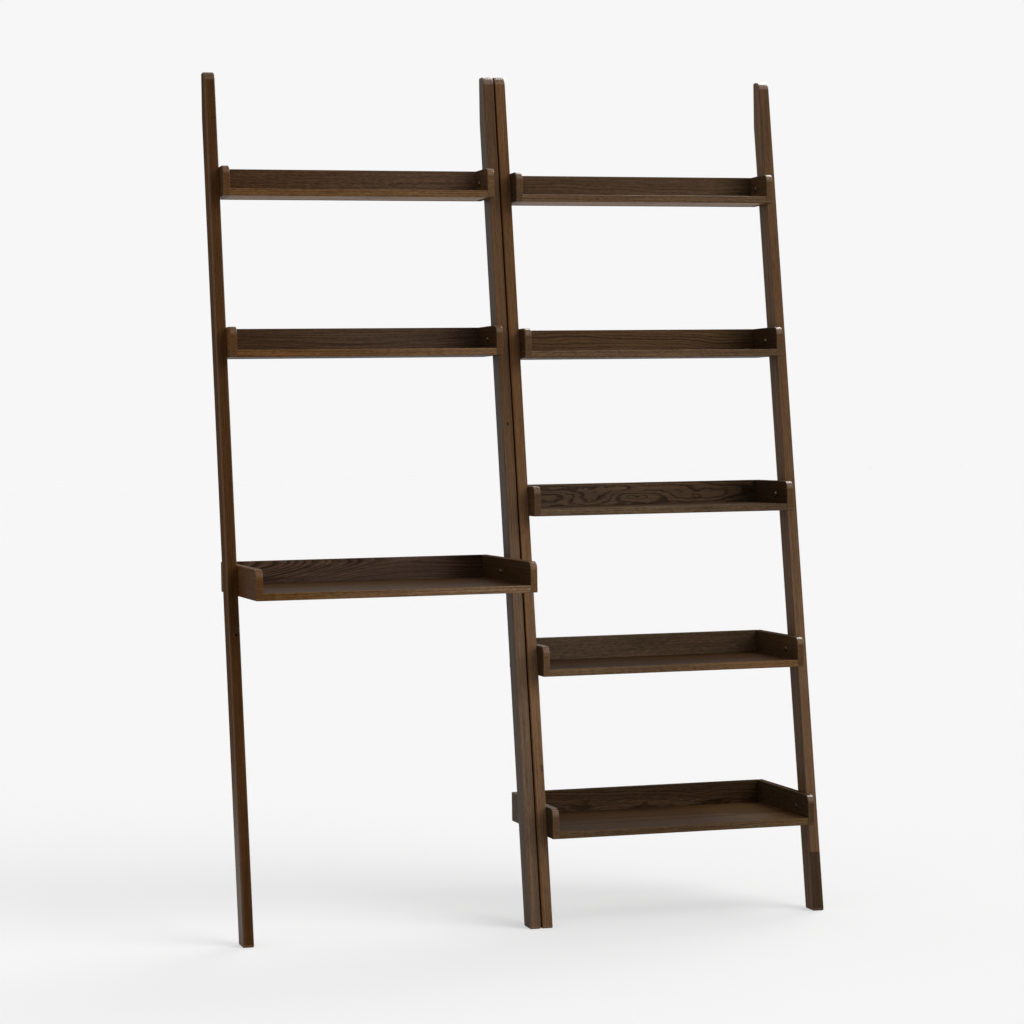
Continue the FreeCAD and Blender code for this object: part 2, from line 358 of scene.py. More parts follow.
class Figure(Enum):
    """How a piece was cut from its log, and so what its growth rings draw on its faces."""

    STRAIGHT = Rings((0.020, 0.260), 5.4 * MM, 0.010, 5 * MM, 500, 0.6 * MM, 0.6 * MM, 0.60, 0.50, 0.50)
    FINE = Rings((0.060, 0.320), 3.8 * MM, 0.006, 3 * MM, 600, 0.4 * MM, 0.6 * MM, 0.60, 0.42, 0.45)
    WAVY = Rings((0.045, 0.075), 5.4 * MM, 0.020, 14 * MM, 200, 1.8 * MM, 0.7 * MM, 0.50, 0.85, 0.80)
    CATHEDRAL = Rings((0.022, 0.028), 5.8 * MM, 0.020, 4 * MM, 220, 1.8 * MM, 0.8 * MM, 0.85, 0.92, 0.80)
    FLAME = Rings((0.026, 0.004), 5.5 * MM, 0.030, 14 * MM, 160, 3.0 * MM, 1.0 * MM, 0.58, 0.80, 0.72)
    HEART = Rings((0.026, 0.020), 4.4 * MM, 0.030, 6 * MM, 200, 2.0 * MM, 0.9 * MM, 0.56, 0.80, 0.70)


class Fibre(Enum):
    """The way the fibre runs, as its direction and the direction of the piece's depth."""

    ACROSS = ((1.0, 0.0, 0.0), (0.0, 1.0, 0.0))
    TO_WALL = ((0.0, 1.0, 0.0), (1.0, 0.0, 0.0))


@dataclass(frozen=True)
class Timber:
    """The grain of one piece, and how dark it took the stain.

    The tones are shares of the finish's own colour: of the edges, and of the two broad faces. The
    depth is the share of the figure's contrast that the stain left, the mottle the contrast of the
    short flecks, and the haze the sheen of the lacquer seen along the face. The lip is the depth of
    a front lipping's rear edge, with its colours at the left and the right end.
    """

    figure: Figure
    seed: int
    tone: float = 1.0
    broad_tone: float = 1.0
    warmth: float = 0.0
    depth: float = 1.0
    mottle: float = 0.28
    haze: float = 0.0
    roughness: float = 0.50
    fibre: tuple[Triple, Triple] = Fibre.ACROSS.value
    lip: tuple[float, Colour, Colour] | None = None
    shades: tuple[Shade, ...] = ()
    knots: tuple[Knot, ...] = ()
    polished: tuple[Polish, ...] = ()


# Materials

# The colour mixer's sockets go by number, because it has several of each name.
MIX_SHARE, MIX_FIRST, MIX_SECOND, MIXED = 0, 6, 7, 2


class NodeSheet:
    """A node tree, with short ways to add nodes."""

    def __init__(self, owner: bpy.types.Material | bpy.types.World) -> None:
        """Starts an empty tree.

        Args:
            owner: The material or world that it is for.
        """
        owner.use_nodes = True
        self.owner = owner
        self.tree = owner.node_tree
        self.tree.nodes.clear()

    def node(self, kind: str, inputs: dict | None = None, **settings: object) -> bpy.types.Node:
        """Adds a node.

        Args:
            kind: The node's type.
            inputs: For each input socket, by name or index, a value or a socket to join to it.
            **settings: The node's own properties.

        Returns:
            The node.
        """
        made = self.tree.nodes.new(kind)
        for key, value in settings.items():
            setattr(made, key, value)
        for key, value in (inputs or {}).items():
            self.feed(made.inputs[key], value)
        return made

    def feed(self, socket: Socket, value: object) -> None:
        """Joins a socket to another, or sets its value.

        Args:
            socket: The input.
            value: The other socket, a number, a vector or a colour of three numbers.
        """
        if isinstance(value, Socket):
            self.tree.links.new(value, socket)
        elif socket.type == "RGBA":
            socket.default_value = (*value, 1.0)
        else:
            socket.default_value = value

    def calc(self, operation: str, *values: object) -> Socket:
        """One step of arithmetic."""
        return self.node("ShaderNodeMath", dict(enumerate(values)), operation=operation).outputs[0]

    def vector(self, operation: str, first: Socket, second: object) -> Socket:
        """One step of arithmetic with vectors."""
        return self.node("ShaderNodeVectorMath", {0: first, 1: second}, operation=operation).outputs[0]

    def remap(self, value: object, low: float, high: float, at_low: float, at_high: float) -> Socket:
        """Carries low..high smoothly to at_low..at_high, and stays there outside."""
        inputs = {"Value": value, "From Min": low, "From Max": high, "To Min": at_low, "To Max": at_high}
        return self.node("ShaderNodeMapRange", inputs, interpolation_type="SMOOTHSTEP").outputs[0]

    def noise(self, place: Socket, spots: Spots) -> Socket:
        """Noise, mostly between 0.3 and 0.7.

        Args:
            place: Where each point is, in metres.
            spots: Its spots.

        Returns:
            The noise.
        """
        scaled = self.vector("MULTIPLY", place, tuple(1.0 / (part * MM) for part in spots.size))
        return self.node("ShaderNodeTexNoise", {
            "Vector": scaled, "Scale": 1.0, "Detail": spots.detail,
            "Roughness": spots.roughness}).outputs["Fac"]

    def about(self, noise: Socket, spread: float, low: float, high: float) -> Socket:
        """Carries a noise's range, to each side of its middle, to low..high."""
        return self.remap(noise, 0.5 - spread, 0.5 + spread, low, high)

    def vary(self, colour: Socket, noise: Socket, spots: Spots) -> Socket:
        """Lightens and darkens a colour with the noise of these spots."""
        factor = self.about(noise, spots.spread, 1.0 - spots.contrast, 1.0 + spots.contrast)
        return self.scale_colour(colour, factor)

    def bump(self, strength: float, depth: float, height: Socket) -> Socket:
        """Normals that follow a height, which is this deep from 0 to 1."""
        inputs = {"Strength": strength, "Distance": depth, "Height": height}
        return self.node("ShaderNodeBump", inputs).outputs[0]

    def blend(self, share: object, first: object, second: object, how: str = "MIX") -> Socket:
        """Mixes two colours."""
        inputs = {MIX_SHARE: share, MIX_FIRST: first, MIX_SECOND: second}
        return self.node("ShaderNodeMix", inputs, data_type="RGBA", blend_type=how).outputs[MIXED]

    def scale_colour(self, colour: object, factor: Socket) -> Socket:
        """A colour times a number."""
        return self.node("ShaderNodeVectorMath", {0: colour, "Scale": factor}, operation="SCALE").outputs[0]

    def finish(self, shader: bpy.types.Node, output: str = "ShaderNodeOutputMaterial") -> None:
        """Joins the shader to the output."""
        self.node(output, {"Surface": shader.outputs[0]})


class PieceSheet(NodeSheet):
    """The material of one piece, with the places on the piece and the corners of its box."""

    def __init__(self, name: str, piece: Piece) -> None:
        """Starts an empty material.

        Args:
            name: The material's name.
            piece: The piece it is for.
        """
        super().__init__(bpy.data.materials.new(name))
        places = np.empty(len(piece.data.vertices) * 3, np.float32)
        piece.data.vertices.foreach_get("co", places)
        places = places.reshape(-1, 3)
        self.piece = piece
        self.low, self.high = places.min(axis=0), places.max(axis=0)

    @cached_property
    def where(self) -> Socket:
        """The places on the piece."""
        return self.node("ShaderNodeTexCoord").outputs["Object"]

    def share(self, attribute: str) -> Socket:
        """A number from 0 to 1 that the mesh keeps."""
        return self.node("ShaderNodeAttribute", attribute_name=attribute).outputs["Fac"]

    def distance(self, patch: Patch) -> Socket:
        """How far each place is from a patch's middle, over its reach.

        Args:
            patch: The patch.

        Returns:
            1 at the patch's reach.
        """
        middle = (self.low + np.array(patch.place) * (self.high - self.low)).tolist()
        offset = self.vector("SUBTRACT", self.where, middle)
        offset = self.vector("MULTIPLY", offset, tuple(1.0 / part for part in patch.reach))
        return self.node("ShaderNodeVectorMath", {0: offset}, operation="LENGTH").outputs["Value"]

    def fall(self, distance: Socket) -> Socket:
        """Falls from 1 at the middle as exp(-d^2)."""
        return self.calc("EXPONENT", self.calc("MULTIPLY", self.calc("MULTIPLY", distance, distance), -1.0))

    def cover(self, inputs: dict) -> None:
        """Puts a surface on the piece, in place of any it has.

        Args:
            inputs: The surface's inputs by name.
        """
        self.finish(self.node("ShaderNodeBsdfPrincipled", inputs))
        if self.piece.material_slots:
            self.piece.material_slots[0].material = self.owner
        else:
            self.piece.data.materials.append(self.owner)


@dataclass(frozen=True)
class StainedAsh:
    """Ash under a dark stain and a thin open-pored lacquer.

    A range is where a noise or the wear starts and ends to count, a play how far a number may be off.
    """

    name: str
    latewood: Colour
    earlywood: Colour
    pore: Colour
    worn: Colour
    streaks: Spots = Spots((220, 3.2, 3.2), 3.0, 0.6, contrast=0.20)
    lines: Spots = Spots((50, 0.8, 0.8), 2.0, 0.6, contrast=0.14)
    flecks: Spots = Spots((10, 2.2, 2.2), 2.0, 0.65, 0.22)
    blotches: Spots = Spots((300, 60, 60), 2.0, spread=0.20, contrast=0.09)
    vessels: Spots = Spots((15, 0.55, 0.55))
    rubs: Spots = Spots((30, 10, 10), 3.0, 0.6, 0.15)
    core_edges: Spots = Spots((35, 7, 7), 3.0, 0.6, 0.20)
    ring_shifts: Spots = Spots((9, 3, 3), 2.0, 0.6)
    breaks: Spots = Spots((40, 7, 7), 2.0, 0.6)
    lip_contrast: float = 0.35
    blue_loss: float = 1.4
    vessel_range: Pair = (0.54, 0.68)
    break_range: Pair = (0.35, 0.62)
    pore_depth: float = 0.6
    pores_in_latewood: float = 0.25
    wear_depth: float = 0.55
    least_rubbed: float = 0.35
    core_fade: float = 0.75
    core_unevenness: float = 0.55
    gloss_range: Pair = (0.12, 0.40)
    gloss_on_flats: float = 0.008
    gloss_on_edges: float = 0.40
    gloss_roughness: float = 0.32
    pore_roughness: float = 0.16
    streak_roughness: float = 0.05
    streak_spread: float = 0.2
    rubbed_polish: float = 0.10
    line_height: float = 0.25
    ring_depth: float = 0.35
    bump_strength: float = 0.6
    bump_depth: float = 0.12 * MM
    log_stretch: Pair = (1.0, 9.0)
    pith_play: Pair = (0.85, 1.15)

    def dress(self, piece: Piece, timber: Timber) -> None:
        """Gives the piece this finish over its own grain."""
        AshSheet(self, piece, timber).dress()


class AshSheet(PieceSheet):
    """The stained ash of one piece, over its own grain."""

    def __init__(self, ash: StainedAsh, piece: Piece, timber: Timber) -> None:
        """Starts the material.

        Args:
            ash: The finish.
            piece: The piece to dress.
            timber: Its grain and its tones.
        """
        super().__init__(f"{ash.name}_{piece.name}", piece)
        self.ash, self.timber, self.rings = ash, timber, timber.figure.value
        self.wear, self.broad = self.share("wear"), self.share("broad")
        self.place = self.log_place()

    def dress(self) -> None:
        """Puts the finish on the piece."""
        ash = self.ash
        swell, core, clear = self.knots()
        early = self.calc("MULTIPLY", self.earlywood_share(swell), clear)
        streak, line = self.spots(ash.streaks), self.spots(ash.lines)
        pores, rubbed = self.pores(early), self.rubbed()
        rough = self.calc("MULTIPLY_ADD", pores, ash.pore_roughness, self.timber.roughness)
        uneven = self.about(streak, ash.streak_spread, -ash.streak_roughness, ash.streak_roughness)
        rough = self.calc("MULTIPLY_ADD", rubbed, -ash.rubbed_polish, self.calc("ADD", rough, uneven))
        height = self.calc("SUBTRACT", self.calc("MULTIPLY", line, ash.line_height), pores)
        height = self.calc("MULTIPLY_ADD", early, -ash.ring_depth * self.rings.contrast, height)
        gloss = self.remap(self.wear, *ash.gloss_range, ash.gloss_on_flats, ash.gloss_on_edges)
        for patch in self.timber.polished:
            gloss = self.calc("MULTIPLY_ADD", self.fall(self.distance(patch)), patch.gloss, gloss)
        flecks = replace(ash.flecks, contrast=self.timber.mottle)
        colour = self.vary(self.stain(early), streak, ash.streaks)
        colour = self.vary(colour, line, ash.lines)
        for spots in (flecks, ash.blotches):
            colour = self.vary(colour, self.spots(spots), spots)
        colour = self.blend(self.calc("MULTIPLY", pores, ash.pore_depth), colour, ash.pore)
        colour = self.scale_colour(colour, core)
        colour = self.blend(self.calc("MULTIPLY", rubbed, ash.wear_depth), colour, ash.worn)
        self.cover({
            "Base Color": colour, "Roughness": rough, "Specular IOR Level": self.timber.haze,
            "Normal": self.bump(ash.bump_strength, ash.bump_depth, height),
            "Coat Weight": gloss, "Coat Roughness": ash.gloss_roughness})

    def log_place(self) -> Socket:
        """Turns and shifts the piece into its log.

        Returns:
            Places in the log, with x along the fibre, and y and z across it from the pith.
        """
        along, depth = (Vector(part).normalized() for part in self.timber.fibre)
        turn = Matrix((along, depth, along.cross(depth)))
        centre = Vector((self.low + self.high) / 2.0)
        drawn = np.random.default_rng(self.timber.seed)
        pith, play = self.rings.pith, self.ash.pith_play
        target = Vector((drawn.uniform(*self.ash.log_stretch), pith[0] * drawn.uniform(*play),
                         pith[1] * drawn.choice((-1.0, 1.0)) * drawn.uniform(*play)))
        return self.node("ShaderNodeMapping", {
            "Vector": self.where, "Location": target - turn @ centre,
            "Rotation": turn.to_euler("XYZ")}).outputs[0]

    def spots(self, spots: Spots) -> Socket:
        """Noise in the log."""
        return self.noise(self.place, spots)

    def pores(self, early: Socket) -> Socket:
        """Short open vessels, most of them in the earlywood."""
        vessels = self.remap(self.spots(self.ash.vessels), *self.ash.vessel_range, 0.0, 1.0)
        return self.calc("MULTIPLY", vessels, self.remap(early, 0.0, 1.0, self.ash.pores_in_latewood, 1.0))

    def rubbed(self) -> Socket:
        """How far the stain is rubbed off, in patches."""
        patches = self.about(self.spots(self.ash.rubs), self.ash.rubs.spread, self.ash.least_rubbed, 1.0)
        return self.calc("MULTIPLY", self.wear, patches)

    def knots(self) -> tuple[Socket | float, ...]:
        """Adds up the piece's knots.

        Each swells the rings by exp(-d^2), where d is the distance over its reach. For the core the
        distance is a little uneven, so that it has a ragged outline.

        Returns:
            How far the rings swell, in metres, the cores' tone and the rings' contrast.
        """
        swell, core, clear = 0.0, 1.0, 1.0
        edges, play = self.ash.core_edges, self.ash.core_unevenness
        uneven = self.about(self.spots(edges), edges.spread, 1.0 - play, 1.0 + play)
        for knot in self.timber.knots:
            distance = self.distance(knot)
            fall = self.fall(distance)
            swell = self.calc("MULTIPLY_ADD", fall, knot.swell, swell)
            clear = self.calc("MULTIPLY", clear, self.calc("MULTIPLY_ADD", fall, knot.contrast - 1.0, 1.0))
            share = self.remap(self.calc("MULTIPLY", distance, uneven), self.ash.core_fade * knot.core_share,
                               knot.core_share, knot.core, 1.0)
            core = self.calc("MULTIPLY", core, share)
        return swell, core, clear

    def earlywood_share(self, swell: Socket | float) -> Socket:
        """Draws the growth rings.

        A noise from 0 to 1, times twice a distance, shifts the rings by that distance to each side.

        Args:
            swell: How far knots push the rings outwards.

        Returns:
            1 in the open-pored wood that starts each ring, 0 in the dense wood that ends it.
        """
        rings = self.rings
        along, across, above = self.node("ShaderNodeSeparateXYZ", {0: self.place}).outputs
        radius = self.calc("SQRT", self.calc("ADD", self.calc("MULTIPLY", across, across),
                                             self.calc("MULTIPLY", above, above)))
        radius = self.calc("MULTIPLY_ADD", along, rings.taper, radius)
        for spots, distance in ((rings.wander_spots(), rings.wander), (rings.ripple_spots(), rings.ripple),
                                (self.ash.ring_shifts, rings.jitter)):
            radius = self.calc("MULTIPLY_ADD", self.spots(spots), 2.0 * distance, radius)
        years = self.calc("DIVIDE", self.calc("ADD", radius, swell), rings.spacing)
        drift = self.node("ShaderNodeTexNoise", {
            "W": self.calc("MULTIPLY", years, rings.drift_rate), "Scale": 1.0, "Detail": 1.0},
            noise_dimensions="1D").outputs["Fac"]
        part_year = self.calc("FRACT", self.calc("MULTIPLY_ADD", drift, rings.drift, years))
        opening = self.remap(part_year, 0.0, rings.opening, 0.0, 1.0)
        closing = self.remap(part_year, rings.closing * rings.band, rings.band, 1.0, 0.0)
        broken = self.remap(self.spots(self.ash.breaks), *self.ash.break_range, rings.unbroken, 1.0)
        return self.calc("MULTIPLY", self.calc("MULTIPLY", opening, closing), broken)

    def stain(self, early: Socket) -> Socket:
        """The stain's colour over the growth rings, with the lipping and the shades.

        Args:
            early: The share of earlywood.

        Returns:
            The colour over the surface.
        """
        ash, timber, low, high = self.ash, self.timber, self.low.tolist(), self.high.tolist()
        here = self.node("ShaderNodeSeparateXYZ", {0: self.where}).outputs
        figure = self.calc("MULTIPLY", early, self.rings.contrast * timber.depth)
        colour = self.blend(figure, ash.latewood, ash.earlywood)
        colour = self.scale_colour(colour, self.calc(
            "MULTIPLY_ADD", self.broad, timber.broad_tone - timber.tone, timber.tone))
        warm = (1.0 + timber.warmth, 1.0, 1.0 - ash.blue_loss * timber.warmth)
        colour = self.blend(1.0, colour, warm, "MULTIPLY")
        if timber.lip is not None:
            edge, left, right = timber.lip
            x = Axis.X
            lipping = self.blend(self.remap(here[x], low[x], high[x], 0.0, 1.0), left, right)
            lipping = self.blend(self.calc("MULTIPLY", early, ash.lip_contrast), lipping, ash.earlywood)
            colour = self.blend(self.calc("LESS_THAN", here[Axis.Y], edge), colour, lipping)
        for shade in timber.shades:
            axis = shade.axis
            start, end = (low[axis] + share * (high[axis] - low[axis]) for share in shade.stretch)
            tint = self.blend(self.remap(here[axis], start, end, 0.0, 1.0), shade.low, shade.high)
            if shade.edges_only:
                tint = self.blend(self.broad, tint, PLAIN)
            colour = self.blend(1.0, colour, tint, "MULTIPLY")
        return colour


@dataclass(frozen=True)
class Plain:
    """A plain finish: a colour with patches of a second one, under fine marks.

    The patch roughness is what the patches add, the polish and the scuff what the marks take off
    and add, and the bump follows the marks.
    """

    name: str
    colour: Colour
    patch_colour: Colour
    roughness: float
    metallic: float
    patches: Spots
    patch_range: Pair
    marks: Spots
    bump_strength: float
    bump_depth: float
    patch_roughness: float = 0.0
    polish: float = 0.0
    scuff: float = 0.0

    def dress(self, piece: Piece) -> None:
        """Gives a piece this finish.

        Args:
            piece: The piece to dress.
        """
        sheet = PieceSheet(self.name, piece)
        patches = sheet.remap(sheet.noise(sheet.where, self.patches), *self.patch_range, 0.0, 1.0)
        marks = sheet.noise(sheet.where, self.marks)
        rough = sheet.calc("MULTIPLY_ADD", patches, self.patch_roughness, self.roughness)
        scuffed = sheet.about(marks, self.marks.spread, -self.polish, self.scuff)
        sheet.cover({
            "Base Color": sheet.vary(sheet.blend(patches, self.colour, self.patch_colour), marks, self.marks),
            "Roughness": sheet.calc("ADD", rough, scuffed), "Metallic": self.metallic,
            "Normal": sheet.bump(self.bump_strength, self.bump_depth, marks)})


def settle(piece: Piece, nodes: tuple[str, ...]) -> Piece:
    """Lets a piece stand for CAD nodes and ride on the object.

    Args:
        piece: The piece.
        nodes: The nodes' names.

    Returns:
        The piece.
    """
    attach(piece, "root")
    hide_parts(*nodes)
    return piece


# The object

ASH = StainedAsh(
    name="stained_ash",
    latewood=tone(98, 71, 47),
    earlywood=tone(46, 31, 20),
    pore=tone(28, 18, 11),
    worn=tone(122, 88, 54),
)
BEECH = Plain(
    "beech", tone(201, 168, 128), tone(150, 110, 76), roughness=0.6, metallic=0.0,
    patches=Spots((2.0, 0.3, 0.3)), patch_range=(0.58, 0.68), patch_roughness=0.1,
    marks=Spots((30, 0.8, 0.8), 2.0, 0.6, contrast=0.12), bump_strength=0.4, bump_depth=0.1 * MM)
STEEL = Plain(
    "bronzed_steel", tone(86, 73, 60), tone(52, 44, 36), roughness=0.36, metallic=1.0,
    patches=Spots((4.0, 4.0, 4.0), 3.0, 0.6), patch_range=(0.35, 0.70), polish=0.06, scuff=0.10,
    marks=Spots((0.25, 0.9, 0.25), 2.0, 0.7, 0.20), bump_strength=0.25, bump_depth=0.02 * MM)
BRASS = replace(
    STEEL, name="brass", colour=tone(206, 170, 96), patch_colour=tone(150, 118, 62), roughness=0.35)


@dataclass(frozen=True)
class LeaningRail:
    """A rail that leans to the wall, cut level at the foot, plumb at the wall and rounded at the top.

    Its rounded corners are given as a radius and a share of wear.
    """

    node: str
    timber: Timber
    foot_reach: float = 317 * MM
    top_reach: float = 36.5 * MM
    depth: float = 51 * MM
    toe: Pair = (4 * MM, 0.8)
    heel: Pair = (4 * MM, 0.6)
    wall_cut: Pair = (3 * MM, 0.2)
    wall_top: Pair = (4 * MM, 0.5)
    nose: Pair = (20 * MM, 0.4)
    edge_radius: float = 2 * MM
    edge_wear: float = 0.18

    def lean(self) -> float:
        """How far the rail leans back for each metre of height."""
        return (self.foot_reach - self.top_reach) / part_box(self.node)[1].z

    def run(self) -> float:
        """The rail's depth along the floor."""
        return self.depth * math.sqrt(1.0 + self.lean() ** 2)

    def middle(self, height: float) -> float:
        """The y of the rail's centre line at a height."""
        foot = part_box(self.node)[1].y - self.foot_reach
        return foot + self.lean() * height + self.run() / 2.0

    def build(self) -> None:
        """Makes the rail in the place of its CAD node."""
        low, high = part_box(self.node)
        lean, front = self.lean(), high.y - self.foot_reach
        rear = front + self.run()
        corners = (
            Corner(front, 0.0, *self.toe),
            Corner(rear, 0.0, *self.heel),
            Corner(high.y, (high.y - rear) / lean, *self.wall_cut),
            Corner(high.y, high.z, *self.wall_top),
            Corner(high.y - self.top_reach, high.z, *self.nose),
        )
        slab = EasedSlab(corners, low.x, high.x, self.edge_radius, self.edge_wear)
        rail = settle(slab.build(self.node + "_ash"), (self.node,))
        ASH.dress(rail, replace(self.timber, fibre=((0.0, lean, 1.0), (0.0, 1.0, -lean))))
        LOG.info("%s: leaning rail, lean %.3f", rail.name, lean)


@dataclass(frozen=True)
class Tray:
    """An open tray: a board, a back behind it and two sides with rounded noses.

    The top, the outer and the inner are the tones of the board and of the left and the right side's
    broad faces, and the fronts those of the two sides' edges; these tones are partly the stain's and
    partly painted light and shade, as the light falls on each face. The sheens are the hazes of the
    board and of the left side. The corner is the back's tone at its right end: painted shade, where
    the right side shades the back. Rounded corners and eased edges are given as a radius and a share
    of wear.
    """

    name: str
    back: Timber
    lipping: tuple[Colour, Colour]
    top: float = 0.50
    outer: float = 0.90
    inner: float = 0.62
    fronts: Pair = (0.88, 1.0)
    warmth: Pair = (-0.06, -0.06)
    sheen: float = 0.0035
    side_sheen: float = 0.020
    corner: float = 0.70
    board_shades: tuple[Shade, ...] = ()
    polished: tuple[Polish, ...] = ()
    # Where the painted corner shade runs along the back, as shares of its width.
    painted_corner_shade: Pair = (0.80, 0.99)
    board_roughness: float = 0.36
    side_roughness: float = 0.42
    nose: Pair = (17 * MM, 0.38)
    toe: Pair = (4 * MM, 0.3)
    heel: Pair = (2.5 * MM, 0.2)
    side_edge: Pair = (1.5 * MM, 0.22)
    eased: Pair = (1.5 * MM, 0.15)
    sharp: Pair = (0.3 * MM, 0.0)
    lip: float = 2.0 * MM

    def build(self) -> None:
        """Makes the four pieces, each cut from a log of its own."""
        seed, nosed = self.back.seed, (self.toe, self.heel, self.heel, self.nose)
        left = Timber(Figure.FINE, seed + 2, self.fronts[0], self.outer, self.warmth[0],
                      haze=self.side_sheen, roughness=self.side_roughness, fibre=Fibre.TO_WALL.value)
        self.build_part("left_side", nosed, self.side_edge, left)
        right = Timber(Figure.FINE, seed + 3, self.fronts[1], self.inner, self.warmth[1],
                       fibre=Fibre.TO_WALL.value)
        self.build_part("right_side", nosed, self.side_edge, right)
        # Painted shade: the back darkens towards its right end, where the right side shades it.
        painted_corner_shade = Shade(Axis.X, self.painted_corner_shade, high=grey(self.corner))
        back = replace(self.back, shades=(*self.back.shades, painted_corner_shade))
        self.build_part("back", (self.sharp, self.eased, self.eased, self.eased), self.sharp, back)
        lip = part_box(f"{self.name}_board")[0].y + self.lip
        board = Timber(Figure.STRAIGHT, seed + 1, self.top, haze=self.sheen, roughness=self.board_roughness,
                       lip=(lip, *self.lipping), shades=self.board_shades, polished=self.polished)
        self.build_part("board", (self.eased, self.sharp, self.sharp, self.eased), self.sharp, board)

    def build_part(self, part: str, corners: tuple[Pair, ...], edge: Pair, timber: Timber) -> None:
        """Makes one piece in the place of its CAD node.

        Args:
            part: Which piece of the tray it is.
            corners: The lower front, lower rear, upper rear and upper front corner.
            edge: The easing round its two ends.
            timber: Its grain.
        """
        node = f"{self.name}_{part}"
        low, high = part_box(node)
        places = ((low.y, low.z), (high.y, low.z), (high.y, high.z), (low.y, high.z))
        rounded = tuple(Corner(*place, *corner) for place, corner in zip(places, corners))
        slab = EasedSlab(rounded, low.x, high.x, *edge)
        piece = settle(slab.build(node + "_ash"), (node,))
        ASH.dress(piece, timber)
        LOG.info("%s: %s figure", piece.name, timber.figure.name.lower())


@dataclass(frozen=True)
class ButtonBolts:
    """A unit's domed bolts, turned about their axes, each with a hexagon socket.

    The surface's parameters are the angle round the axis and the place along a profile. Each
    profile point has a reach along the axis, a radius and a share of hexagon; the radius of the
    hexagon is its half width over the cosine of the angle from the nearest flat's middle.
    """

    unit: str
    rail: LeaningRail
    shelves: tuple[str, ...]
    head_radius: float = 5.25 * MM
    head_height: float = 3.3 * MM
    crown_radius: float = 3.0 * MM
    rim_height: float = 0.8 * MM
    rim_round: float = 0.2 * MM
    bulge: float = 0.12
    socket_half_width: float = 2.0 * MM
    socket_depth: float = 2.0 * MM
    socket_bevel: float = 0.2 * MM
    crown_hexagon: float = 0.4
    drill_point: float = 0.4 * MM
    shank_radius: float = 3.0 * MM
    shank_length: float = 30 * MM
    tip_bevel: float = 0.6 * MM
    bolt_height: float = 36 * MM
    sharp_angle: float = 32.0
    around: int = 48
    dome_steps: int = 8

    def profile(self) -> np.ndarray:
        """The profile from the socket's floor over the head to the shank's tip.

        Returns:
            A row of reach, radius and share of hexagon for each point.
        """
        top = self.head_height
        floor = top - self.socket_depth
        half = self.socket_half_width
        share = np.linspace(0.0, 1.0, self.dome_steps)[:, None]
        crown = np.array([[top, self.crown_radius]])
        shoulder = np.array([[self.rim_height, self.head_radius]])
        chord = shoulder - crown
        outward = np.array([[chord[0, 1], -chord[0, 0]]])
        dome = crown + share * chord + 4.0 * self.bulge * share * (1.0 - share) * outward
        dome = np.concatenate([dome, np.zeros((self.dome_steps, 1))], axis=1)
        inner = np.array([
            [floor, half, 1.0],
            [top - self.socket_bevel, half, 1.0],
            [top, half + self.socket_bevel, 1.0],
            [top, (half + self.socket_bevel + self.crown_radius) / 2.0, self.crown_hexagon],
        ])
        outer = np.array([
            [self.rim_round, self.head_radius, 0.0],
            [0.0, self.head_radius - self.rim_round, 0.0],
            [0.0, self.shank_radius, 0.0],
            [self.tip_bevel - self.shank_length, self.shank_radius, 0.0],
            [-self.shank_length, self.shank_radius - self.tip_bevel, 0.0],
        ])
        return np.concatenate([inner, dome, outer])

    def lathe(self) -> tuple[np.ndarray, np.ndarray, np.ndarray]:
        """One bolt about its own axis, closed by a pole at each end.

        Returns:
            Points (reach, across, up), quads and, at the poles, triangles.
        """
        reach, radius, hexagon = self.profile().T
        angle = np.linspace(0.0, 2.0 * np.pi, self.around, endpoint=False)
        flat = np.pi / 3.0
        six = 1.0 / np.cos((angle + flat / 2.0) % flat - flat / 2.0)
        spread = radius[:, None] * (1.0 + hexagon[:, None] * (six[None] - 1.0))
        ring = np.stack([np.broadcast_to(reach[:, None], spread.shape), spread * np.cos(angle),
                         spread * np.sin(angle)], axis=-1).reshape(-1, 3)
        poles = np.array([[reach[0] - self.drill_point, 0.0, 0.0], [reach[-1], 0.0, 0.0]])
        sample = np.arange(self.around)
        onward = np.roll(sample, -1)
        pole = np.full(self.around, len(ring))
        last = len(ring) - self.around
        ends = np.concatenate([np.stack([onward, sample, pole], axis=1),
                               np.stack([last + sample, last + onward, pole + 1], axis=1)])
        return np.concatenate([ring, poles]), grid_faces(len(reach), self.around), ends

    def places(self) -> tuple[np.ndarray, np.ndarray]:
        """Where the bolts go.

        Returns:
            Each bolt's seat on the inside of a tray side, and the signs that turn its head inwards.
        """
        seats = []
        for shelf in self.shelves:
            low, inside_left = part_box(f"{shelf}_left_side")
            inside_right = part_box(f"{shelf}_right_side")[0]
            height = low.z + self.bolt_height
            seats += [(x, self.rail.middle(height), height) for x in (inside_left.x, inside_right.x)]
        as_made, half_turn = (1.0, 1.0, 1.0), (-1.0, -1.0, 1.0)
        return np.array(seats), np.tile((as_made, half_turn), (len(self.shelves), 1))

    def build(self) -> None:
        """Makes the unit's bolts as one piece, those that point to -X turned half round the upright."""
        bolt, quads, ends = self.lathe()
        seats, signs = self.places()
        points = (seats[:, None] + signs[:, None] * bolt).reshape(-1, 3)
        start = len(bolt) * np.arange(len(seats))[:, None, None]
        faces = (quads + start).reshape(-1, 4).tolist() + (ends + start).reshape(-1, 3).tolist()
        piece = show_mesh(f"{self.unit}_button_bolts", points, faces)
        piece.data.set_sharp_from_angle(angle=math.radians(self.sharp_angle))
        settle(piece, (f"{self.unit}_bolts",))
        STEEL.dress(piece)
        LOG.info("%s: %d bolts", piece.name, len(seats))


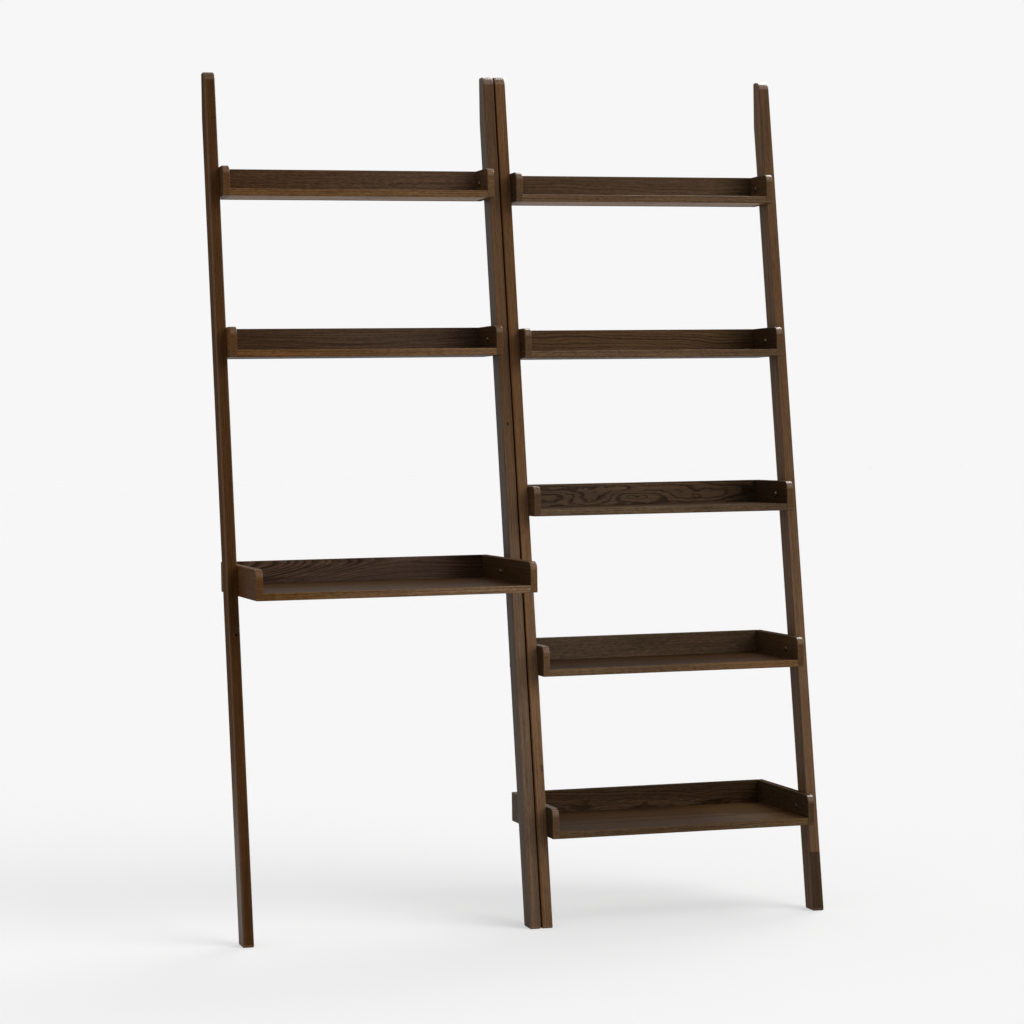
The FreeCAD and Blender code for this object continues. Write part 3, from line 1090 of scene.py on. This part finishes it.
@dataclass(frozen=True)
class LadderUnit:
    """One leaning unit: two rails, its trays and its fixings."""

    name: str
    rails: tuple[LeaningRail, LeaningRail]
    trays: tuple[Tray, ...]

    def build(self) -> None:
        """Makes and dresses every piece of the unit."""
        for part in (*self.rails, *self.trays):
            part.build()
        ButtonBolts(self.name, self.rails[0], tuple(tray.name for tray in self.trays)).build()
        self.dress_hidden_fixings()

    def dress_hidden_fixings(self) -> None:
        """Finishes the inserts, pegs and dowels, which keep their CAD shapes inside the wood."""
        for part, finish in (("inserts", BRASS), ("rail_pegs", BEECH), ("tray_dowels", BEECH)):
            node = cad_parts[f"{self.name}_{part}"]
            finish.dress(node)
            LOG.info("%s: %s", node.name, finish.name)


GOLDEN_LIPPING = (tone(110, 79, 48), tone(113, 84, 57))
BROWN_LIPPING = (tone(104, 81, 59), tone(102, 80, 58))
SCUFFED_FOOT = Shade(Axis.Z, (0.05, 0.28), grey(0.80), edges_only=True)
# Painted shade: the arrises beside the gap between the two units are darkened, as shade falls into the gap.
GAP_SHADE_RIGHT_ARRIS = Shade(Axis.X, (0.80, 0.97), high=grey(0.70), edges_only=True)
GAP_SHADE_LEFT_ARRIS = Shade(Axis.X, (0.03, 0.22), low=(0.90, 0.72, 0.45), edges_only=True)
DARK_TOP = Shade(Axis.Z, (0.86, 0.93), high=grey(0.80))
DARK_TOP_EDGES = replace(DARK_TOP, edges_only=True)
# Painted light: a board's underside is made paler, as the pale floor lights it from below.
PAINTED_FLOOR_LIGHT_UNDERSIDE = Shade(Axis.Z, (0.0, 0.04), low=(2.25, 2.15, 1.42))
# Painted sheen: a back turns paler, greyer and bluer towards its right end, where it shows more haze.
PAINTED_SHEEN_RIGHT = Shade(Axis.X, (0.05, 0.75), (0.83, 0.80, 0.86), (1.05, 1.15, 1.48))
FINGER_JOINT = Shade(Axis.Z, (0.0690, 0.0692), grey(0.40), edges_only=True)


def foot(tint: Colour) -> tuple[Shade, ...]:
    """A rail's edges turn to this tint towards the floor, where they are scuffed."""
    return Shade(Axis.Z, (0.32, 0.66), tint, edges_only=True), SCUFFED_FOOT


DESK_RAILS = (
    LeaningRail("desk_unit_left_rail", Timber(
        Figure.FINE, 11, tone=0.64, broad_tone=0.78, warmth=0.14, mottle=0.12, haze=0.001,
        shades=(*foot((0.92, 0.88, 0.84)), DARK_TOP),
        knots=(Knot((0.625, 0.308, 0.349), (5 * MM, 8 * MM, 7 * MM), 5 * MM, 0.15, 0.6),),
        # Heavy edge wear lightens the rail's arrises: worn colour, and partly a painted highlight on the
        # roundings.
        polished=(Polish((0.0, 0.10, 0.06), (0.005, 0.20, 0.20), 0.38),)), edge_wear=0.42),
    LeaningRail("desk_unit_right_rail", Timber(
        Figure.FINE, 12, tone=0.95, broad_tone=0.60, warmth=0.02, mottle=0.12, haze=0.060,
        shades=(*foot((1.34, 1.64, 2.20)), GAP_SHADE_RIGHT_ARRIS, DARK_TOP_EDGES),
        knots=(Knot((0.54, 0.516, 0.5846), (4 * MM, 8 * MM, 7 * MM), 4 * MM, 0.15, 0.6),))),
)

DESK_TRAYS = (
    Tray(
        "desk_unit_top_shelf",
        Timber(Figure.FINE, 100, 0.94, warmth=-0.03, shades=(PAINTED_SHEEN_RIGHT,)),
        GOLDEN_LIPPING, top=1.1, outer=0.62, inner=1.02, fronts=(0.82, 1.36), warmth=(0.12, -0.06),
        sheen=0.012, corner=1.0, board_shades=(PAINTED_FLOOR_LIGHT_UNDERSIDE,)),
    Tray(
        "desk_unit_second_shelf",
        Timber(Figure.STRAIGHT, 110, 0.92, warmth=-0.07, mottle=0.16, shades=(PAINTED_SHEEN_RIGHT,),
               knots=(Knot((0.56, 0.0, 0.0), (0.25, 0.05, 0.05), -24 * MM),)),
        (tone(107, 74, 41), tone(118, 90, 64)), outer=1.30, fronts=(0.79, 1.0), warmth=(0.14, 0.02)),
    Tray(
        "desktop",
        Timber(Figure.CATHEDRAL, 160, 1.06, warmth=-0.10, mottle=0.14, shades=(
            # Painted sheen, greyer and bluer towards the right; then painted shade, warm and dark, at the
            # corner by the right side.
            Shade(Axis.X, (0.0, 0.8), (0.97, 0.98, 1.22), (0.96, 1.05, 1.48)),
            Shade(Axis.X, (0.80, 0.97), high=(1.0, 0.82, 0.60)),
        ), knots=(
            Knot((0.0, 0.0, 1.0), (0.25, 0.10, 0.12), -72 * MM),
            Knot((1.05, 0.0, 1.0), (0.20, 0.10, 0.12), -18 * MM),
            Knot((0.49, 0.0, 0.93), (0.030, 0.03, 0.012), 0.0, 0.66, 1.0),
            Knot((0.10, 0.0, 0.25), (0.080, 0.03, 0.016), 0.0, 0.74, 1.0),
            Knot((0.70, 0.0, 0.35), (0.240, 0.10, 0.045), 0.0, contrast=0.35),
        )),
        (tone(99, 69, 36), tone(133, 106, 82)), top=0.55, outer=0.79, inner=0.61, fronts=(0.88, 1.32),
        warmth=(0.16, -0.02), sheen=0.0022, side_sheen=0.003, corner=0.66,
        # Painted shade: the top darker towards its right end, where it shows less sheen.
        board_shades=(Shade(Axis.X, (0.55, 0.95), high=grey(0.88)),),
        polished=(Polish((0.28, 0.10, 1.0), (0.20, 0.20, 0.05), 0.035),)),
)

BOOKCASE_RAILS = (
    LeaningRail("bookcase_left_rail", Timber(
        Figure.FINE, 13, tone=1.26, broad_tone=1.0, warmth=0.02, mottle=0.12,
        shades=(*foot((1.40, 1.58, 1.90)), GAP_SHADE_LEFT_ARRIS),
        knots=(Knot((0.80, 0.162, 0.183), (5 * MM, 12 * MM, 14 * MM), 0.0, 0.60, 0.8),))),
    LeaningRail("bookcase_right_rail", Timber(
        Figure.FINE, 14, tone=1.12, broad_tone=1.30, warmth=-0.01, mottle=0.12, haze=0.034,
        shades=(*foot((1.30, 1.42, 1.62)), FINGER_JOINT, DARK_TOP_EDGES))),
)

BOOKCASE_TRAYS = (
    Tray(
        "bookcase_shelf_1",
        Timber(Figure.WAVY, 130, 1.05, warmth=-0.10, depth=0.42, mottle=0.18,
               # Painted sheen: the back greyer and bluer towards its right end.
               shades=(Shade(Axis.X, (0.1, 0.8), (0.92, 0.96, 1.05), (1.06, 1.13, 1.27)),)),
        BROWN_LIPPING, top=1.1, outer=0.68, inner=0.98, fronts=(0.98, 1.12), sheen=0.012, corner=0.58,
        board_shades=(PAINTED_FLOOR_LIGHT_UNDERSIDE,)),
    Tray(
        "bookcase_shelf_2",
        Timber(Figure.WAVY, 140, 1.12, warmth=-0.08, depth=0.8, mottle=0.14,
               shades=(Shade(Axis.Z, (0.1, 0.7), grey(0.84)),)),
        BROWN_LIPPING, outer=0.86, inner=0.54, fronts=(1.06, 1.16)),
    Tray(
        "bookcase_shelf_3",
        Timber(Figure.FLAME, 150, 1.12, warmth=-0.13, mottle=0.14, shades=(
            # Painted sheen: the back greyer and bluer towards its left end.
            Shade(Axis.X, (0.1, 0.8), (0.97, 1.08, 1.26), (0.98, 0.98, 1.07)),
        ), knots=(
            Knot((0.503, 0.0, 0.507), (0.065, 0.03, 0.014), 24 * MM, 0.3, 0.10),
            Knot((0.033, 0.0, 0.552), (0.130, 0.03, 0.014), 24 * MM),
        )),
        (tone(106, 86, 66), tone(90, 72, 55)), outer=0.95, inner=0.46, fronts=(0.90, 1.05), corner=0.50),
    Tray(
        "bookcase_shelf_4",
        Timber(Figure.FINE, 160, 1.16, warmth=-0.17,
               # Painted sheen: the back greyer and bluer towards its left end.
               shades=(Shade(Axis.X, (0.1, 0.8), (1.04, 1.13, 1.25)),)),
        BROWN_LIPPING, top=0.40, outer=0.70, inner=0.86, fronts=(1.34, 0.98), corner=0.72,
        board_shades=(Shade(Axis.X, (0.45, 0.95), high=(1.35, 1.20, 0.95)),)),
    Tray(
        "bookcase_shelf_5",
        Timber(Figure.HEART, 181, 0.68, warmth=-0.10, mottle=0.14, shades=(
            # Painted shade: the back darker towards its right end, where the right side shades it.
            Shade(Axis.X, (0.55, 0.90), high=(0.86, 0.82, 0.78)),
        ), knots=(
            Knot((0.50, 0.0, 0.27), (0.205, 0.03, 0.0150), 0.0, 1.36, 1.0, 0.5),
            Knot((0.255, 0.0, 0.35), (0.030, 0.03, 0.0090), 4 * MM, 0.50, 1.0),
            Knot((0.515, 0.0, 0.25), (0.036, 0.03, 0.0110), 5 * MM, 0.50, 1.0),
            Knot((0.775, 0.0, 0.20), (0.028, 0.03, 0.0110), 5 * MM, 0.50, 1.0),
            Knot((0.838, 0.0, 0.25), (0.022, 0.03, 0.0100), 4 * MM, 0.50, 1.0),
            Knot((0.750, 0.0, 0.65), (0.030, 0.03, 0.0300), 7 * MM),
        )),
        (tone(90, 69, 50), tone(82, 63, 46)), top=0.54, outer=0.55, inner=0.66, fronts=(1.0, 0.80),
        warmth=(-0.10, -0.10), corner=0.82,
        # Painted highlight: the top paler towards its right end, where the lacquer reflects the light.
        board_shades=(Shade(Axis.X, (0.50, 0.95), high=(1.66, 1.68, 1.42)),),
        polished=(Polish((0.78, 0.30, 1.0), (0.08, 0.06, 0.05), 0.07),)),
)


# Studio

@dataclass(frozen=True)
class Lamp:
    """A soft, far lamp, with its angles and its spread in degrees."""

    name: str
    azimuth: float
    elevation: float
    strength: float
    spread: float

    def build(self) -> None:
        """Makes the lamp; azimuth 0 shines along +Y and 90 along -X."""
        light = bpy.data.lights.new(self.name, "SUN")
        light.energy = self.strength
        light.angle = math.radians(self.spread)
        turn, rise = math.radians(self.azimuth), math.radians(self.elevation)
        back = Vector((math.sin(turn) * math.cos(rise), -math.cos(turn) * math.cos(rise), math.sin(rise)))
        link(self.name, light).rotation_euler = back.to_track_quat("Z", "Y").to_euler()


@dataclass(frozen=True)
class Pane:
    """A bright round pane that shows only in glosses, as a window does in a lacquered edge."""

    name: str
    place: Triple
    target: Triple
    radius: float
    brightness: float

    def build(self) -> None:
        """Makes the pane and turns it to its target."""
        light = bpy.data.lights.new(self.name, "AREA")
        light.shape = "DISK"
        light.size = 2.0 * self.radius
        area = math.pi * self.radius ** 2
        light.energy = self.brightness * math.pi * area
        pane = link(self.name, light)
        pane.location = self.place
        pane.rotation_euler = (Vector(self.place) - Vector(self.target)).to_track_quat("Z", "Y").to_euler()
        pane.visible_camera = False
        pane.visible_diffuse = False


@dataclass(frozen=True)
class Studio:
    """A pale floor, a pale even surround and soft lamps."""

    backdrop: float = 0.930
    fill: float = 0.46
    floor_reflectance: float = 0.50
    floor_roughness: float = 0.9
    floor_glow: float = 0.495
    floor_reach: float = 60.0
    lamps: tuple[Lamp, ...] = (
        Lamp("key", 42.0, 34.0, 1.5, 45.0),
        Lamp("rim", 138.0, 48.0, 0.6, 30.0),
    )
    pane: Pane = Pane("window", (1.36, 0.88, 2.88), (0.5, 0.0, 1.0), 0.95, 20.0)

    def build(self) -> None:
        """Makes the surround, the lamps and the floor."""
        self.surround()
        for light in (*self.lamps, self.pane):
            light.build()
        self.floor()

    def seen_share(self, sheet: NodeSheet) -> Socket:
        """Tells what is seen from what only lights.

        Args:
            sheet: The nodes to add to.

        Returns:
            1 for what is seen straight, in a gloss or through glass, 0 for what only lights.
        """
        path = sheet.node("ShaderNodeLightPath").outputs
        straight_or_glossy = sheet.calc("MAXIMUM", path["Is Camera Ray"], path["Is Glossy Ray"])
        return sheet.calc("MAXIMUM", straight_or_glossy, path["Is Transmission Ray"])

    def surround(self) -> None:
        """The world: the backdrop's grey where it is seen, the fill where it lights."""
        world = bpy.data.worlds.new("studio")
        bpy.context.scene.world = world
        sheet = NodeSheet(world)
        strength = sheet.node("ShaderNodeMapRange", {
            "Value": self.seen_share(sheet), "To Min": self.fill, "To Max": self.backdrop}).outputs[0]
        sky = sheet.node("ShaderNodeBackground", {"Color": PLAIN, "Strength": strength})
        sheet.finish(sky, "ShaderNodeOutputWorld")

    def floor(self) -> None:
        """The floor: a wide plain square that glows where it is seen, so that it meets the backdrop."""
        corners = np.array([(-1.0, -1.0, 0.0), (1.0, -1.0, 0.0), (1.0, 1.0, 0.0), (-1.0, 1.0, 0.0)])
        floor = show_mesh("floor", corners * self.floor_reach, [(0, 1, 2, 3)])
        sheet = PieceSheet("studio_floor", floor)
        sheet.cover({
            "Base Color": grey(self.floor_reflectance), "Roughness": self.floor_roughness,
            "Specular IOR Level": 0.0, "Emission Color": PLAIN,
            "Emission Strength": sheet.calc("MULTIPLY", self.seen_share(sheet), self.floor_glow)})


@dataclass(frozen=True)
class StudioCamera:
    """The camera, turned right by yaw, up by pitch and rolled, in radians."""

    place: Triple = (-1.7945, -6.1995, 1.1008)
    yaw: float = 0.27853
    pitch: float = -0.028822
    roll: float = -0.015776
    focal_pixels: float = 2900.4
    image_width: float = 1024.0
    sensor_width: float = 36.0
    far_limit: float = 200.0

    def build(self) -> None:
        """Makes the camera and gives it to the scene."""
        turn = (Matrix.Rotation(-self.yaw, 4, "Z") @ Matrix.Rotation(math.pi / 2.0 + self.pitch, 4, "X")
                @ Matrix.Rotation(self.roll, 4, "Z"))
        data = bpy.data.cameras.new("camera")
        data.sensor_width = self.sensor_width
        data.lens = self.focal_pixels * self.sensor_width / self.image_width
        data.clip_end = self.far_limit
        camera = link("camera", data)
        camera.matrix_world = Matrix.Translation(self.place) @ turn
        bpy.context.scene.camera = camera


def main() -> None:
    """Builds the pair of units and the studio."""
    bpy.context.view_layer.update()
    LadderUnit("desk_unit", DESK_RAILS, DESK_TRAYS).build()
    LadderUnit("bookcase", BOOKCASE_RAILS, BOOKCASE_TRAYS).build()
    Studio().build()
    StudioCamera().build()
    bpy.context.scene.view_settings.view_transform = "Standard"


if __name__ == "__main__":
    logging.basicConfig(level=logging.INFO, format="%(message)s")
    main()
